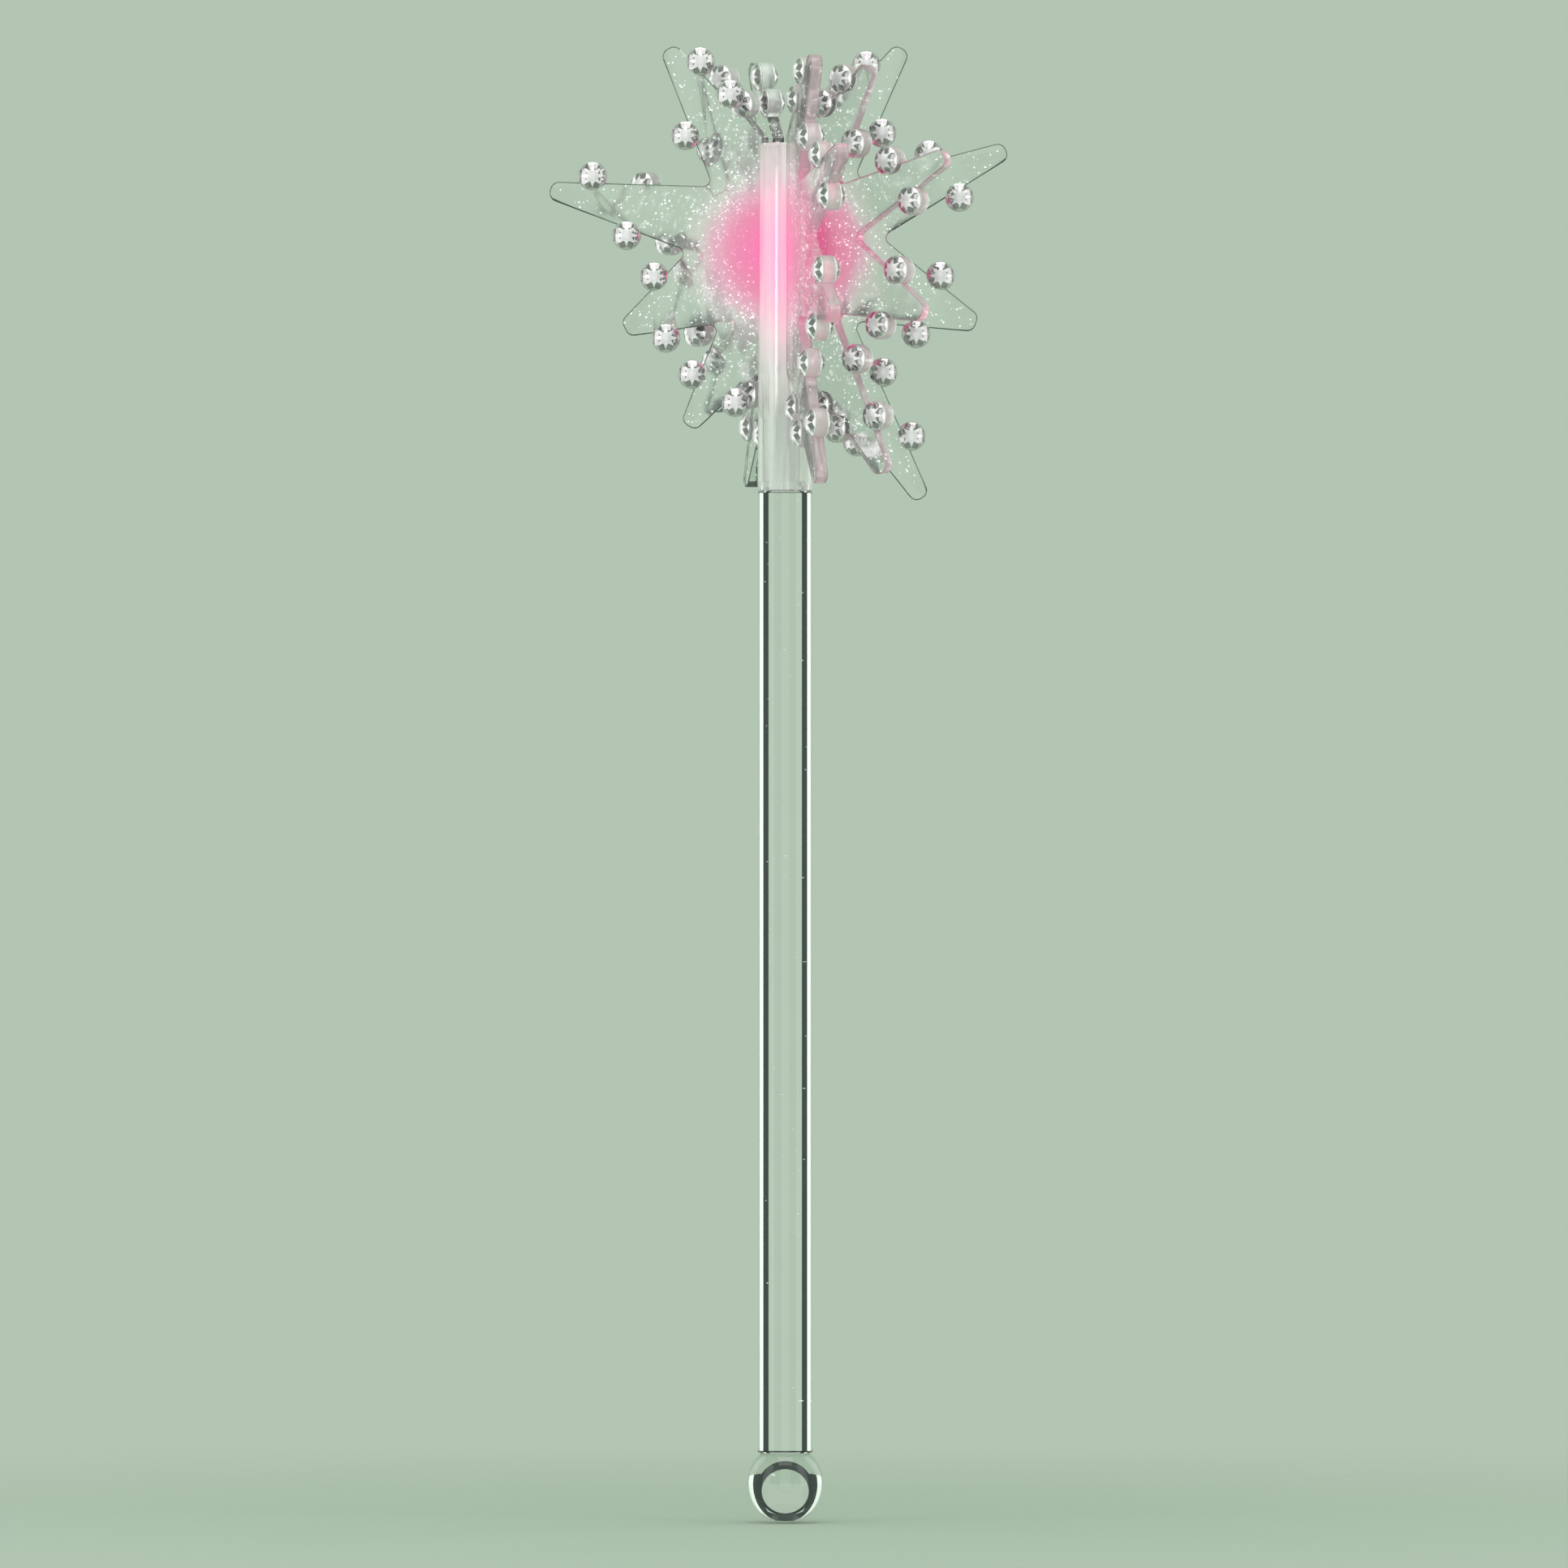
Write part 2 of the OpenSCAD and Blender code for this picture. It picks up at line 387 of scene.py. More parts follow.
@dataclass(frozen=True)
class ClearAcrylic(Finish):
    """Polished clear acrylic with faint drawing marks along its length."""

    tint: Colour = (0.985, 0.995, 0.99)
    shade: float = 0.97
    ior: float = PLASTIC_IOR
    scuffs: Levels = ((0.62, 0.0), (0.78, 1.0))
    rough: Span = (0.0, 0.05)
    drawn: Triple = (1.0, 1.0, 0.02)
    rolled: Triple = (1.0, 1.0, 0.06)
    wave_depth: float = 0.02 * MM
    wave: float = 0.06

    def paint(self, bench: NodeBench) -> None:
        """Fill the node tree with clear plastic, hair marks and a slight wave.

        Args:
            bench: The material's node tree.
        """
        bench.hold(Transmission_Weight=1.0, IOR=self.ior)
        shade = tuple(self.shade * c for c in self.tint)
        cloud = bench.noise(Grain.BROAD)
        bench.feed("Base Color", bench.ramp(cloud, [(0.3, shade), (0.7, self.tint)]))
        marks = bench.noise(Grain.FINE, 3.0, self.drawn)
        bench.feed("Roughness", bench.grey(bench.levels(marks, self.scuffs), *self.rough))
        wave = bench.noise(Grain.MIDDLE, 1.0, self.rolled)
        bench.feed("Normal", bench.bump(wave, self.wave_depth, self.wave))


@dataclass(frozen=True)
class HazyClear(Finish):
    """Clear moulded plastic of the hub, milky and pink round the heart and clear at its foot."""

    centre_z: float
    ior: float = PLASTIC_IOR
    clear: Colour = (0.97, 0.97, 0.975)
    blush: Colour = (1.0, 0.74, 0.86)
    # The next three colours are used only for the painted glow, from the heart out to the foot.
    ember: Colour = (0.62, 0.16, 0.33)
    pearl: Colour = (0.4, 0.34, 0.34)
    foot: Colour = (0.09, 0.08, 0.08)
    glow: float = 0.3
    reach: float = 40.0 * MM
    milk: Levels = ((0.3, 0.6), (0.6, 0.7), (0.98, 0.94))
    streaks: Levels = ((0.42, 1.0), (0.62, 0.7))
    moulded: Triple = (1.0, 1.0, 0.05)
    rough: Span = (0.0, 0.12)
    flow_depth: float = 0.03 * MM
    flow: float = 0.3

    def paint(self, bench: NodeBench) -> None:
        """Fill the node tree with clear plastic, a blush, a painted glow and flow marks.

        Args:
            bench: The material's node tree.
        """
        # The emission is a painted glow that brightens the hub: pink by the heart, greyer further off,
        # faint at the foot.
        bench.hold(IOR=self.ior, Emission_Strength=self.glow)
        away = bench.distance(self.centre_z, 1.0, self.reach)
        tint = [(0.0, self.blush), (0.3, self.blush), (0.7, self.clear)]
        bench.feed("Base Color", bench.ramp(away, tint))
        light = [(0.1, self.ember), (0.5, self.pearl), (0.98, self.foot)]
        bench.feed("Emission Color", bench.ramp(away, light))
        flow = bench.noise(Grain.MIDDLE, 2.0, self.moulded)
        streaked = bench.times(bench.levels(away, self.milk), bench.levels(flow, self.streaks))
        bench.feed("Transmission Weight", streaked)
        bench.feed("Roughness", bench.grey(flow, *self.rough))
        bench.feed("Normal", bench.bump(flow, self.flow_depth, self.flow))


@dataclass(frozen=True)
class PinkHeart(Finish):
    """Translucent pink insert, hot in its middle and pale at its ends."""

    centre_z: float
    hot: Colour = (1.0, 0.3, 0.58)
    warm: Colour = (1.0, 0.5, 0.72)
    pale: Colour = (1.0, 0.84, 0.91)
    reach: float = 22.0 * MM
    glow: float = 0.3
    clarity: Levels = ((0.4, 0.3), (0.92, 0.97))
    rough: Span = (0.25, 0.45)

    def paint(self, bench: NodeBench) -> None:
        """Fill the node tree with a pink, and a painted pink glow, that fade towards both ends.

        Args:
            bench: The material's node tree.
        """
        # The emission is a painted pink glow, hot in the middle and gone towards the ends.
        bench.hold(Emission_Strength=self.glow)
        away = bench.distance(self.centre_z, 1.0, self.reach)
        pink = [(0.1, self.hot), (0.5, self.warm), (0.88, self.pale)]
        bench.feed("Base Color", bench.ramp(away, pink))
        bench.feed("Emission Color", bench.ramp(away, [(0.1, self.hot), (0.8, BLACK)]))
        bench.feed("Transmission Weight", bench.levels(away, self.clarity))
        cloud = bench.noise(Grain.MIDDLE, 2.0)
        bench.feed("Roughness", bench.grey(cloud, *self.rough))


@dataclass(frozen=True)
class GlitterPlate(Finish):
    """Clear glitter plastic of a fin: pink round the head's centre, clear towards the points."""

    centre_z: float
    hot: Colour = (0.8, 0.16, 0.4)
    warm: Colour = (0.82, 0.31, 0.5)
    pale: Colour = (0.95, 0.68, 0.79)
    clear: Colour = (0.965, 0.985, 0.97)
    # Ember and halo colour only the painted glow.
    ember: Colour = (0.5, 0.13, 0.26)
    halo: Colour = (0.3, 0.18, 0.23)
    glow: float = 0.3
    squash: float = 1.12
    reach: float = 30.0 * MM
    ior: float = PLASTIC_IOR
    clarity: Levels = ((0.2, 0.15), (0.42, 0.36), (0.57, 0.8), (0.68, 0.94), (1.0, 0.97))
    rough: Span = (0.08, 0.2)
    ripple_depth: float = 0.1 * MM
    ripple: float = 0.02

    def paint(self, bench: NodeBench) -> None:
        """Fill the node tree with the pink heart's spread, a painted glow and the plastic's faint haze.

        Args:
            bench: The material's node tree.
        """
        bench.hold(IOR=self.ior, Emission_Strength=self.glow)
        away = bench.distance(self.centre_z, self.squash, self.reach)
        tint = [(0.2, self.hot), (0.42, self.warm), (0.57, self.pale), (0.68, self.clear)]
        bench.feed("Base Color", bench.ramp(away, tint))
        # The emission is a painted pink glow round the heart, fading out to none.
        light = [(0.12, self.hot), (0.36, self.ember), (0.55, self.halo), (0.85, BLACK)]
        bench.feed("Emission Color", bench.ramp(away, light))
        bench.feed("Transmission Weight", bench.levels(away, self.clarity))
        haze = bench.noise(Grain.MIDDLE, 3.0)
        bench.feed("Roughness", bench.grey(haze, *self.rough))
        ripple = bench.noise(Grain.BROAD, 1.0)
        bench.feed("Normal", bench.bump(ripple, self.ripple_depth, self.ripple))


@dataclass(frozen=True)
class FinWall(Finish):
    """Side wall of a fin, with the pink light of the heart painted into its colour out to its edge."""

    centre_z: float
    tint: Colour = (1.0, 0.8, 0.87)
    hot: Colour = (1.0, 0.37, 0.61)
    clear: float = 0.62
    rough: float = 0.1
    rough_spread: Span = (0.5, 1.5)
    reach: float = 34.0 * MM
    ior: float = PLASTIC_IOR

    def paint(self, bench: NodeBench) -> None:
        """Fill the node tree with tinted plastic, painted pink light and the fine marks of a cut edge.

        Args:
            bench: The material's node tree.
        """
        bench.hold(IOR=self.ior, Transmission_Weight=self.clear)
        away = bench.distance(self.centre_z, 1.0, self.reach)
        # The hot pink near the heart is painted light, standing for the heart's light carried along the
        # wall.
        bench.feed("Base Color", bench.ramp(away, [(0.45, self.hot), (0.95, self.tint)]))
        marks = bench.noise(Grain.FINE, 2.0)
        low, high = self.rough_spread
        bench.feed("Roughness", bench.grey(marks, self.rough * low, self.rough * high))


@dataclass(frozen=True)
class SilverFacet(Finish):
    """Mirror silver of a stone's facet, a little different from stone to stone."""

    bright: Colour
    dull: Colour
    metal: float = 1.0
    rough: float = 0.12
    rough_spread: Span = (0.6, 1.4)
    coat: float = 0.6
    coat_rough: float = 0.03

    def paint(self, bench: NodeBench) -> None:
        """Fill the node tree with silver that clouds slowly from one stone to the next.

        Args:
            bench: The material's node tree.
        """
        bench.hold(Metallic=self.metal, Coat_Weight=self.coat, Coat_Roughness=self.coat_rough)
        cloud = bench.noise(Grain.MIDDLE, 1.0)
        bench.feed("Base Color", bench.ramp(cloud, [(0.35, self.dull), (0.65, self.bright)]))
        film = bench.noise(Grain.FINE, 2.0)
        low, high = self.rough_spread
        bench.feed("Roughness", bench.grey(film, self.rough * low, self.rough * high))


@dataclass(frozen=True)
class Sparkle(Finish):
    """Pearly glitter flake that shifts between white, pink, green and blue."""

    cell: float = 900.0
    metal: float = 0.35
    rough: float = 0.22
    rough_spread: Span = (0.5, 1.6)
    glow: float = 0.9
    hues: tuple[Stop, ...] = (
        (0.0, (1.0, 1.0, 1.0)),
        (0.45, (0.97, 1.0, 0.98)),
        (0.62, (1.0, 0.85, 0.93)),
        (0.78, (0.85, 1.0, 0.9)),
        (0.95, (0.86, 0.93, 1.0)),
    )

    def paint(self, bench: NodeBench) -> None:
        """Fill the node tree with one pale hue for each small cell of space.

        Args:
            bench: The material's node tree.
        """
        # The emission is painted sparkle: each flake glows in its own pale hue.
        bench.hold(Metallic=self.metal, Emission_Strength=self.glow)
        cells = bench.add("ShaderNodeTexVoronoi", Scale=self.cell)
        bench.join(bench.place(), cells.inputs["Vector"])
        parts = bench.add("ShaderNodeSeparateColor")
        bench.join(cells.outputs["Color"], parts.inputs["Color"])
        pearl = bench.ramp(parts.outputs["Red"], self.hues)
        bench.feed("Base Color", pearl)
        bench.feed("Emission Color", pearl)
        low, high = self.rough_spread
        rough = bench.grey(parts.outputs["Green"], self.rough * low, self.rough * high)
        bench.feed("Roughness", rough)


@dataclass(frozen=True)
class PaleFloor(Finish):
    """Pale floor that fades into the plain light around it."""

    tone: Colour = (0.45, 0.52, 0.45)
    lift: float = 1.03
    rough: float = 0.9
    shine: float = 0.1
    near: float = 0.03
    far: float = 0.5

    def paint(self, bench: NodeBench) -> None:
        """Fill the node tree with a matt pale surface that thins out with distance.

        Args:
            bench: The material's node tree.
        """
        bench.hold(Roughness=self.rough, Specular_IOR_Level=self.shine)
        grain = bench.noise(Grain.MIDDLE, 2.0)
        light = tuple(self.lift * c for c in self.tone)
        bench.feed("Base Color", bench.ramp(grain, [(0.3, self.tone), (0.7, light)]))
        away = bench.distance(0.0, 0.0, self.far)
        fade = bench.add("ShaderNodeMapRange", From_Min=self.near / self.far)
        fade.interpolation_type = "SMOOTHSTEP"
        bench.join(away, fade.inputs["Value"])
        clear = bench.add("ShaderNodeBsdfTransparent")
        blend = bench.add("ShaderNodeMixShader")
        output = next(n for n in bench.tree.nodes if n.type == "OUTPUT_MATERIAL")
        bench.join(fade.outputs["Result"], blend.inputs["Fac"])
        bench.join(bench.shader().outputs["BSDF"], blend.inputs[1])
        bench.join(clear.outputs["BSDF"], blend.inputs[2])
        bench.join(blend.outputs["Shader"], output.inputs["Surface"])


@dataclass(frozen=True)
class StageCard(Finish):
    """Matt card that the clear pieces show as their dark bands or their light edges."""

    tone: Colour
    glow: float

    def paint(self, bench: NodeBench) -> None:
        """Fill the node tree with a matt surface that glows a little.

        Args:
            bench: The material's node tree.
        """
        tone = (*self.tone, 1.0)
        bench.hold(Base_Color=tone, Roughness=1.0, Specular_IOR_Level=0.0)
        bench.hold(Emission_Color=tone, Emission_Strength=self.glow)


def stand(name: str, bm: BMesh, finishes: Sequence[Finish] = ()) -> bpy.types.Object:
    """Make an object of a bmesh and put it into the scene.

    Args:
        name: Name of the object.
        bm: Its finished shape, which is freed here.
        finishes: A finish for each material slot.

    Returns:
        The new object.
    """
    mesh = bpy.data.meshes.new(name)
    bm.to_mesh(mesh)
    bm.free()
    for finish in finishes:
        mesh.materials.append(finish.material())
    made = bpy.data.objects.new(name, mesh)
    bpy.context.scene.collection.objects.link(made)
    return made


def flake(bm: BMesh, place: Matrix, radius: float, thick: float = 0.05) -> None:
    """Add one six-sided glitter flake.

    Args:
        bm: The mesh that takes it.
        place: Its place and tilt.
        radius: Its radius in millimetres.
        thick: Its thickness in millimetres.
    """
    bmesh.ops.create_cone(
        bm,
        cap_ends=True,
        segments=6,
        radius1=radius * MM,
        radius2=radius * MM,
        depth=thick * MM,
        matrix=place,
    )


@dataclass
class Bench:
    """Turns finished bmeshes into pieces of the wand."""

    crease: float = math.radians(30.0)

    def piece(
        self, name: str, bm: BMesh, finishes: Sequence[Finish], slot: str, nodes: Sequence[str] = ()
    ) -> bpy.types.Object:
        """Make an object of a bmesh, dress it and let it ride on the wand.

        Args:
            name: Name of the piece.
            bm: Its finished shape, which is freed here.
            finishes: A finish for each material slot.
            slot: Not used.
            nodes: CAD nodes that it stands for.

        Returns:
            The new object.
        """
        made = stand(name, bm, finishes)
        made.data.set_sharp_from_angle(angle=self.crease)
        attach(made, BODY)
        if nodes:
            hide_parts(*nodes)
        LOG.info("%s: %d faces", name, len(made.data.polygons))
        return made

    @staticmethod
    def turned(profile: Sequence[Span], steps: int) -> BMesh:
        """Turn a profile about the wand's axis.

        Args:
            profile: Radius and height of its corners in millimetres, from axis to axis.
            steps: Faces round the axis.

        Returns:
            A closed smooth solid.
        """
        bm = bmesh.new()
        corners = [bm.verts.new((r * MM, 0.0, z * MM)) for r, z in profile]
        lines = [bm.edges.new(pair) for pair in zip(corners, corners[1:])]
        bmesh.ops.spin(
            bm,
            geom=corners + lines,
            cent=(0.0, 0.0, 0.0),
            axis=UP,
            angle=FULL_TURN,
            steps=steps,
            use_merge=True,
        )
        bmesh.ops.remove_doubles(bm, verts=bm.verts, dist=MERGE)
        bmesh.ops.recalc_face_normals(bm, faces=bm.faces)
        for face in bm.faces:
            face.smooth = True
        return bm

    @staticmethod
    def copied(node: str) -> BMesh:
        """Copy a CAD node, merge its corners and join its flat faces.

        Args:
            node: Name of the node.

        Returns:
            The merged copy.
        """
        bm = bmesh.new()
        bm.from_mesh(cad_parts[node].data)
        bmesh.ops.remove_doubles(bm, verts=bm.verts, dist=MERGE)
        bmesh.ops.dissolve_limit(
            bm,
            angle_limit=JOIN_ANGLE,
            use_dissolve_boundaries=False,
            verts=bm.verts,
            edges=bm.edges,
        )
        return bm


@dataclass
class Handle:
    """The clear rod with its stepped upper end, and the ball bonded to its foot."""

    bench: Bench
    sizes: Sizes
    spigot_chamfer: float = 0.5
    ball_r: float = 9.0
    ball_z: float = -7.12
    steps: int = 192
    specks: int = 90
    speck_r: Span = (0.08, 0.16)
    speck_area: Span = (0.2, 0.86)
    speck_span: float = 0.97
    speck_climb: float = 1.5
    speck_drop: float = 1.0
    speck_glow: float = 0.5
    seed: int = 11

    def build(self) -> None:
        """Build and dress the rod, its ball and the specks in the rod."""
        acrylic = ClearAcrylic("clear_acrylic")
        # The specks glow with painted sparkle.
        sparkle = Sparkle("rod_sparkle", glow=self.speck_glow)
        self.bench.piece("rod", self.rod(), [acrylic], "clear_rod", ["handle_rod"])
        self.bench.piece("ball", self.ball(), [acrylic], "clear_rod", ["pommel_ball"])
        self.bench.piece("rod_specks", self.speckled(), [sparkle], "clear_rod")

    def rod(self) -> BMesh:
        """Turn the rod with its shoulder, step and spigot.

        Returns:
            The rod's shape.
        """
        size = self.sizes
        return self.bench.turned(
            [
                (0.0, size.seam),
                (size.rod_r - size.chamfer, size.seam),
                (size.rod_r, size.chamfer),
                (size.rod_r, size.shoulder_z - size.chamfer),
                (size.rod_r - size.chamfer, size.shoulder_z - size.seam),
                (size.step_r, size.shoulder_z - size.seam),
                (size.step_r, size.step_z - size.seam),
                (size.spigot_r, size.step_z - size.seam),
                (size.spigot_r, size.spigot_z - self.spigot_chamfer),
                (size.spigot_r - self.spigot_chamfer, size.spigot_z - size.seam),
                (0.0, size.spigot_z - size.seam),
            ],
            self.steps,
        )

    def ball(self) -> BMesh:
        """Cut a flat seat on a ball.

        Returns:
            The ball's shape.
        """
        bm = bmesh.new()
        bmesh.ops.create_uvsphere(
            bm,
            u_segments=self.steps,
            v_segments=self.steps // 2,
            radius=self.ball_r * MM,
            matrix=Matrix.Translation((0.0, 0.0, self.ball_z * MM)),
        )
        bmesh.ops.bisect_plane(
            bm,
            geom=[*bm.verts, *bm.edges, *bm.faces],
            dist=MERGE,
            plane_co=(0.0, 0.0, -self.sizes.seam * MM),
            plane_no=UP,
            clear_outer=True,
        )
        bmesh.ops.holes_fill(bm, edges=[e for e in bm.edges if e.is_boundary], sides=0)
        bmesh.ops.recalc_face_normals(bm, faces=bm.faces)
        for face in bm.faces:
            low = face.calc_center_median().z < self.ball_z * MM
            face.smooth = low or face.normal.z < DEAD_FLAT
        return bm

    def speckled(self) -> BMesh:
        """Scatter a few glitter specks inside the rod, more of them towards the hub.

        Returns:
            All the specks in one mesh.
        """
        draw = random.Random(self.seed)
        bm = bmesh.new()
        for _ in range(self.specks):
            turn = draw.uniform(0.0, FULL_TURN)
            out = self.sizes.rod_r * math.sqrt(draw.uniform(*self.speck_area))
            fall = self.speck_span * draw.random() ** self.speck_climb
            up = self.sizes.shoulder_z * (1.0 - fall) - self.speck_drop
            size = draw.uniform(*self.speck_r)
            spot = Vector((out * math.cos(turn), out * math.sin(turn), up)) * MM
            lean = Matrix.Rotation(draw.uniform(0.0, math.pi), 4, "X")
            spin = Matrix.Rotation(draw.uniform(0.0, math.pi), 4, "Z")
            flake(bm, Matrix.Translation(spot) @ lean @ spin, size)
        return bm


@dataclass
class Hub:
    """The clear hub tube with a groove for each fin, and the pink heart in its bore."""

    bench: Bench
    sizes: Sizes
    top_chamfer: float = 0.5
    heart_edge: float = 0.3
    overcut: float = 1.0
    steps: int = 192

    def build(self) -> None:
        """Build and dress the tube and its heart."""
        size = self.sizes
        hazy = HazyClear("hub_plastic", size.head_z * MM)
        tube = self.bench.piece("hub", self.tube(), [hazy], "clear_hub", ["hub_tube"])
        self.groove(tube)
        pink = PinkHeart("pink_heart", (size.spigot_z + size.core_z) / 2.0 * MM)
        self.bench.piece("heart", self.heart(), [pink], "pink_core", ["pink_core"])

    def tube(self) -> BMesh:
        """Turn the tapered tube with its bore and closed top.

        Returns:
            The tube's shape, without its grooves.
        """
        size = self.sizes
        top_r = size.rod_r - size.hub_draft
        return self.bench.turned(
            [
                (0.0, size.top_z),
                (top_r - self.top_chamfer, size.top_z),
                (top_r, size.top_z - self.top_chamfer),
                (size.rod_r, size.shoulder_z + size.chamfer),
                (size.rod_r - size.chamfer, size.shoulder_z),
                (size.step_r + size.slip, size.shoulder_z),
                (size.step_r + size.slip, size.step_z),
                (size.bore_r, size.step_z),
                (size.bore_r, size.core_z),
                (0.0, size.core_z),
            ],
            self.steps,
        )

    def cutters(self) -> BMesh:
        """Stand a block for each fin where its groove goes.

        Returns:
            The six blocks in one mesh.
        """
        size = self.sizes
        inner = size.bore_r + size.groove_web - size.slip
        width = size.tongue_t + 2.0 * size.slip
        foot_z = size.head_z - size.root_drop
        depth = size.rod_r - inner + self.overcut
        height = size.top_z - foot_z + self.overcut
        block = Matrix.Diagonal((depth * MM, width * MM, height * MM, 1.0))
        bm = bmesh.new()
        for fin in Fin:
            out = fin.outward * (inner + depth / 2.0) * MM
            spot = Matrix.Translation(out + UP * (foot_z + height / 2.0) * MM)
            bmesh.ops.create_cube(bm, size=1.0, matrix=spot @ fin.facing @ block)
        return bm

    def groove(self, tube: bpy.types.Object) -> None:
        """Cut the fins' grooves into the tube.

        Args:
            tube: The turned tube, whose mesh is replaced.
        """
        cutter = stand("groove_cutter", self.cutters())
        blocks, plain = cutter.data, tube.data
        cut = tube.modifiers.new("grooves", "BOOLEAN")
        cut.operation = "DIFFERENCE"
        cut.solver = "EXACT"
        cut.object = cutter
        graph = bpy.context.evaluated_depsgraph_get()
        grooved = bpy.data.meshes.new_from_object(tube.evaluated_get(graph))
        tube.modifiers.clear()
        tube.data = grooved
        bpy.data.objects.remove(cutter)
        for spare in (plain, blocks):
            bpy.data.meshes.remove(spare)
        grooved.name = "hub"
        grooved.set_sharp_from_angle(angle=self.bench.crease)
        LOG.info("hub: %d faces with its grooves", len(grooved.polygons))

    def heart(self) -> BMesh:
        """Turn the pink insert.

        Returns:
            The insert's shape.
        """
        edge = self.heart_edge
        radius = self.sizes.spigot_r
        low = self.sizes.spigot_z + self.sizes.seam
        high = self.sizes.core_z - self.sizes.seam
        return self.bench.turned(
            [
                (0.0, low),
                (radius - edge, low),
                (radius, low + edge),
                (radius, high - edge),
                (radius - edge, high),
                (0.0, high),
            ],
            self.steps // 2,
        )


@dataclass
class GlitterFin:
    """One moulded fin: its plate with softened edges, and the glitter inside it."""

    bench: Bench
    sizes: Sizes
    fin: Fin
    wall: FinWall
    rim: FinWall
    pad: FinWall
    soften: float = 0.26
    clear_of_hub: float = 7.0
    pad_reach: float = 1.6
    upright: float = 0.1
    wall_lean: float = 0.2
    flakes: int = 680
    flake_r: Span = (0.08, 0.25)
    tilt: float = 38.0
    margin: float = 0.5
    crowd: float = 24.0
    far_share: float = 0.3
    skin: Span = (-0.02, 0.5)
    span: float = 1.5
    tries: int = 60

    def build(self) -> None:
        """Build and dress the plate and its glitter."""
        node = f"fin_{self.fin.label}"
        shape = self.plate(node)
        inside = BVHTree.FromBMesh(shape)
        face = GlitterPlate("glitter_plastic", self.sizes.head_z * MM)
        skins = [face, self.wall, self.rim, self.pad]
        self.bench.piece(f"plate_{self.fin.label}", shape, skins, "glitter_fin", [node])
        sparkle = Sparkle("fin_sparkle")
        glitter = self.glitter(node, inside)
        self.bench.piece(f"glitter_{self.fin.label}", glitter, [sparkle], "glitter_fin")

    def plate(self, node: str) -> BMesh:
        """Copy the fin and soften the edges of its two faces.

        Args:
            node: Name of the fin's CAD node.

        Returns:
            The softened plate, with its walls, rims and pads in material slots of their own.
        """
        bm = self.bench.copied(node)
        normal = self.fin.clockwise
        bmesh.ops.bevel(
            bm,
            geom=[edge for edge in bm.edges if self.is_rim(edge)],
            offset=self.soften * MM,
            offset_type="OFFSET",
            segments=2,
            profile=0.5,
            affect="EDGES",
            clamp_overlap=True,
            material=-1,
        )
        bm.normal_update()
        stones = self.stone_corners()
        for face in bm.faces:
            lean = abs(face.normal.dot(normal))
            face.smooth = lean < DEAD_FLAT
            if lean > FLAT:
                face.material_index = PlateSlot.FACE
            elif stones.find(face.calc_center_median())[2] < self.pad_reach * MM:
                face.material_index = PlateSlot.PAD
            else:
                face.material_index = PlateSlot.RIM if lean > self.upright else PlateSlot.WALL
        return bm

    def stone_corners(self) -> KDTree:
        """Collect the corners of the fin's stones, which mark its pads.

        Returns:
            A search tree of the corners.
        """
        nodes = [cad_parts[face.stones(self.fin)] for face in Face]
        spots = [vert.co for node in nodes for vert in node.data.vertices]
        tree = KDTree(len(spots))
        for number, spot in enumerate(spots):
            tree.insert(spot, number)
        tree.balance()
        return tree

    def is_rim(self, edge: BMEdge) -> bool:
        """Tell if an edge lies between a face of the plate and its wall, clear of the hub.

        Args:
            edge: An edge of the copied plate.

        Returns:
            True for an edge to soften.
        """
        if len(edge.link_faces) != 2:
            return False
        if min(v.co.dot(self.fin.outward) for v in edge.verts) < self.clear_of_hub * MM:
            return False
        low, high = sorted(abs(f.normal.dot(self.fin.clockwise)) for f in edge.link_faces)
        return low < self.wall_lean and high > FLAT

    def glitter(self, node: str, inside: BVHTree) -> BMesh:
        """Scatter glitter inside the plate, crowded round the head's centre.

        Args:
            node: Name of the fin's CAD node.
            inside: The plate's surface.

        Returns:
            All the fin's flakes in one mesh.
        """
        draw = random.Random(f"glitter {self.fin.label}")
        low, high = (Vector(corner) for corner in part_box(node))
        reach = max(abs(v) for v in (*low.xy, *high.xy)) * self.span
        bm = bmesh.new()
        made = 0
        for _ in range(self.flakes * self.tries):
            if made == self.flakes:
                break
            out = draw.uniform(self.clear_of_hub * MM, reach)
            up = draw.uniform(low.z, high.z)
            chance = draw.random()
            depth = draw.choice((-1.0, 1.0)) * (self.sizes.fin_t / 2.0 - draw.uniform(*self.skin))
            size = draw.uniform(*self.flake_r)
            tip, roll = (math.radians(draw.uniform(-self.tilt, self.tilt)) for _ in range(2))
            spin = draw.uniform(0.0, math.pi)
            spot = self.fin.outward * out + UP * up
            if chance > self.share(out, up) or not self.holds(spot, inside):
                continue
            lie = self.fin.facing @ Matrix.Rotation(QUARTER_TURN + tip, 4, "X")
            lie = lie @ Matrix.Rotation(roll, 4, "Y") @ Matrix.Rotation(spin, 4, "Z")
            flake(bm, Matrix.Translation(spot + self.fin.clockwise * depth * MM) @ lie, size)
            made += 1
        return bm

    def share(self, out: float, up: float) -> float:
        """Work out the share of flakes to keep at a spot.

        Args:
            out: Distance from the axis in metres.
            up: Height in metres.

        Returns:
            1 at the head's centre, less away from it.
        """
        away = math.hypot(out, up - self.sizes.head_z * MM) / MM
        return self.far_share + (1.0 - self.far_share) * math.exp(-((away / self.crowd) ** 2))

    def holds(self, spot: Vector, inside: BVHTree) -> bool:
        """Tell if the plate reaches past a spot by the margin on every side.

        Args:
            spot: A place in the plate's middle plane.
            inside: The plate's surface.

        Returns:
            True where a flake lies wholly in the plate.
        """
        normal = self.fin.clockwise
        for side, rise in ((1, 0), (-1, 0), (0, 1), (0, -1)):
            start = spot + (self.fin.outward * side + UP * rise) * self.margin * MM + normal
            if inside.ray_cast(start, -normal)[0] is None:
                return False
        return True


